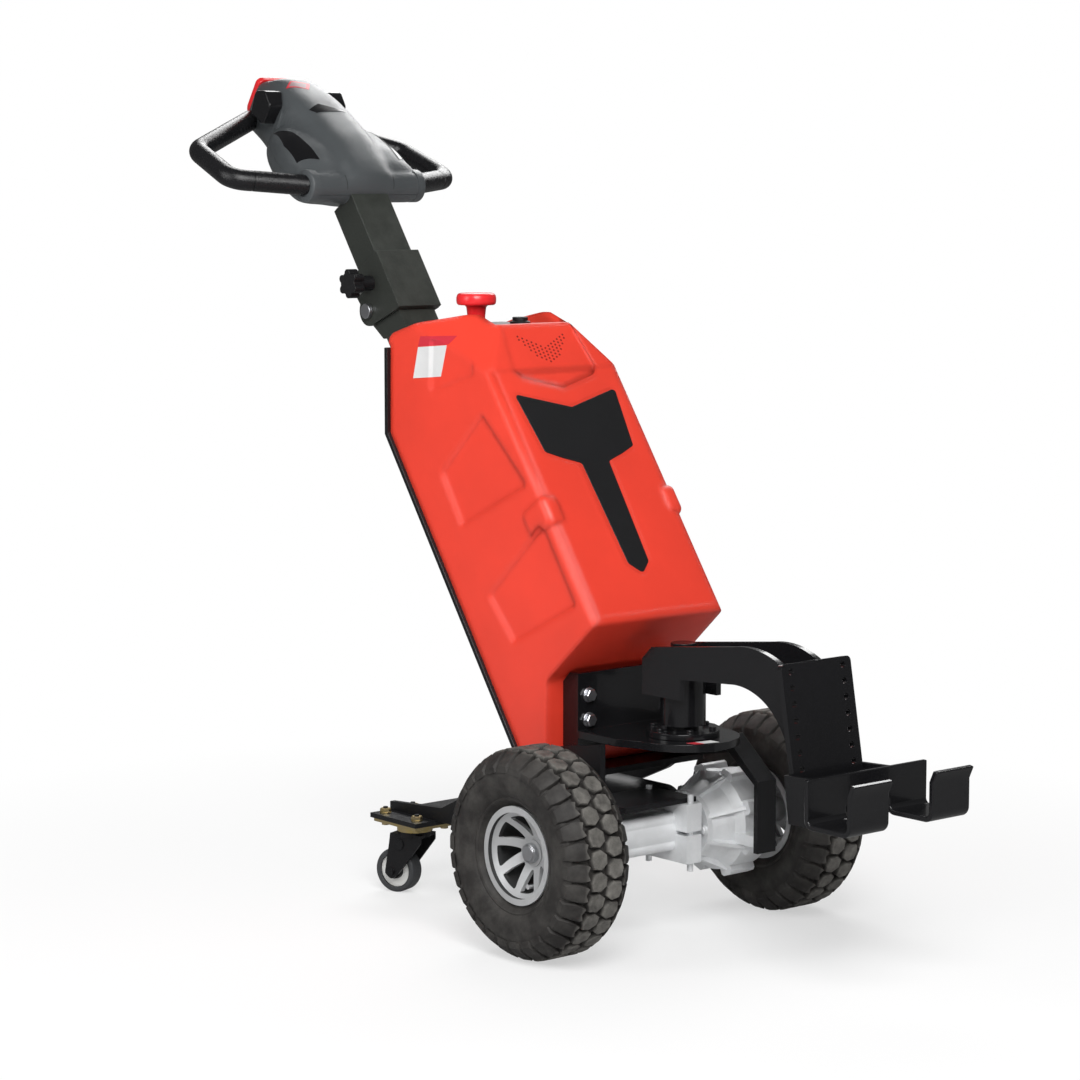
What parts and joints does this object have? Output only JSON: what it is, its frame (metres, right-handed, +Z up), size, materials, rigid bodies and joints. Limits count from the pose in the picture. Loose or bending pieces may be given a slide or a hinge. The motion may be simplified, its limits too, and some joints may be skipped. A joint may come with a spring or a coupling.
{
  "type": "walk-behind electric tug",
  "caption": "Walk-behind electric tug: leaning battery body on driven pneumatic wheels and trailing casters, folding tiller with looped grips, swinging hitch with J hooks.",
  "frame": {"origin": "middle of the overall box, on the floor", "axes": "+X towards the hitch, +Y to the machine's left, +Z up"},
  "size_m": [1.6496, 0.6354, 1.3747],
  "materials": {
    "red_paint": "smooth satin red paint",
    "black_paint": "satin black powder coat",
    "gloss_black": "gloss black enamel",
    "black_plastic": "black moulded plastic",
    "grey_plastic": "dark grey textured plastic",
    "red_plastic": "glossy red plastic",
    "grip_rubber": "ribbed dark rubber",
    "cast_aluminium": "bright cast aluminium",
    "rim_silver": "satin silver paint",
    "zinc": "bright zinc plate",
    "yellow_zinc": "yellow zinc plate",
    "tyre_rubber": "black pneumatic tyre",
    "caster_rubber": "grey solid rubber",
    "white_plastic": "off-white nylon",
    "battery_case": "closed battery block"
  },
  "bodies": {
    "frame": {"chassis_frame": "black_paint", "housing_strap": "black_paint", "rear_carrier": "black_paint", "spine_plate": "black_paint", "red_cover": "red_paint", "badge_plate": "black_plastic", "battery": "battery_case", "top_deck": "black_plastic", "emergency_knob": "red_plastic", "key_switch": "black_plastic", "axle_tube": "cast_aluminium", "gear_housing": "cast_aluminium", "drive_motor": "black_paint", "axle_clamp": "zinc", "hitch_bracket": "gloss_black", "king_post": "gloss_black", "mast_stub": "black_paint", "caster_plate_left": "yellow_zinc", "caster_plate_right": "yellow_zinc"},
    "tiller": {"tiller_bracket": "black_paint", "tiller_tube": "black_paint", "fold_pin": "zinc", "star_knob": "black_plastic", "head_top": "grey_plastic", "head_bottom": "grey_plastic", "handle_left": "grip_rubber", "handle_right": "grip_rubber", "belly_button": "red_plastic", "throttle_levers": "black_plastic"},
    "hitch": {"gooseneck": "gloss_black", "face_plate": "gloss_black", "hook_carrier": "gloss_black", "hook_plate": "gloss_black"},
    "drive_wheel_left": {"tyre_left": "tyre_rubber", "rim_left": "rim_silver", "axle_shaft_left": "zinc"},
    "caster_swivel_left": {"caster_fork_left": "black_paint"},
    "caster_wheel_left": {"caster_tread_left": "caster_rubber", "caster_hub_left": "white_plastic"},
    "drive_wheel_right": {"tyre_right": "tyre_rubber", "rim_right": "rim_silver", "axle_shaft_right": "zinc"},
    "caster_swivel_right": {"caster_fork_right": "black_paint"},
    "caster_wheel_right": {"caster_tread_right": "caster_rubber", "caster_hub_right": "white_plastic"}
  },
  "joints": [
    {"name": "tiller_fold", "type": "hinge", "parent": "frame", "child": "tiller", "pos_m": [-0.43003, 0, 0.96666], "axis": [0, -1, 0], "range_deg": [0, 50]},
    {"name": "hitch_swing", "type": "hinge", "parent": "frame", "child": "hitch", "pos_m": [0.3268, 0, 0.4], "axis": [0, 0, 1], "range_deg": [-45, 45]},
    {"name": "drive_wheel_turn_left", "type": "hinge", "parent": "frame", "child": "drive_wheel_left", "pos_m": [0.2768, 0.2555, 0.165], "axis": [0, 1, 0], "continuous": true},
    {"name": "caster_turn_left", "type": "hinge", "parent": "frame", "child": "caster_swivel_left", "pos_m": [-0.1812, 0.142, 0.1], "axis": [0, 0, 1], "continuous": true},
    {"name": "caster_roll_left", "type": "hinge", "parent": "caster_swivel_left", "child": "caster_wheel_left", "pos_m": [-0.21127, 0.13106, 0.0375], "axis": [-0.342, 0.9397, 0], "continuous": true},
    {"name": "drive_wheel_turn_right", "type": "hinge", "parent": "frame", "child": "drive_wheel_right", "pos_m": [0.2768, -0.2555, 0.165], "axis": [0, 1, 0], "continuous": true},
    {"name": "caster_turn_right", "type": "hinge", "parent": "frame", "child": "caster_swivel_right", "pos_m": [-0.1812, -0.142, 0.1], "axis": [0, 0, 1], "continuous": true},
    {"name": "caster_roll_right", "type": "hinge", "parent": "caster_swivel_right", "child": "caster_wheel_right", "pos_m": [-0.21127, -0.15294, 0.0375], "axis": [-0.342, 0.9397, 0], "continuous": true}
  ]
}
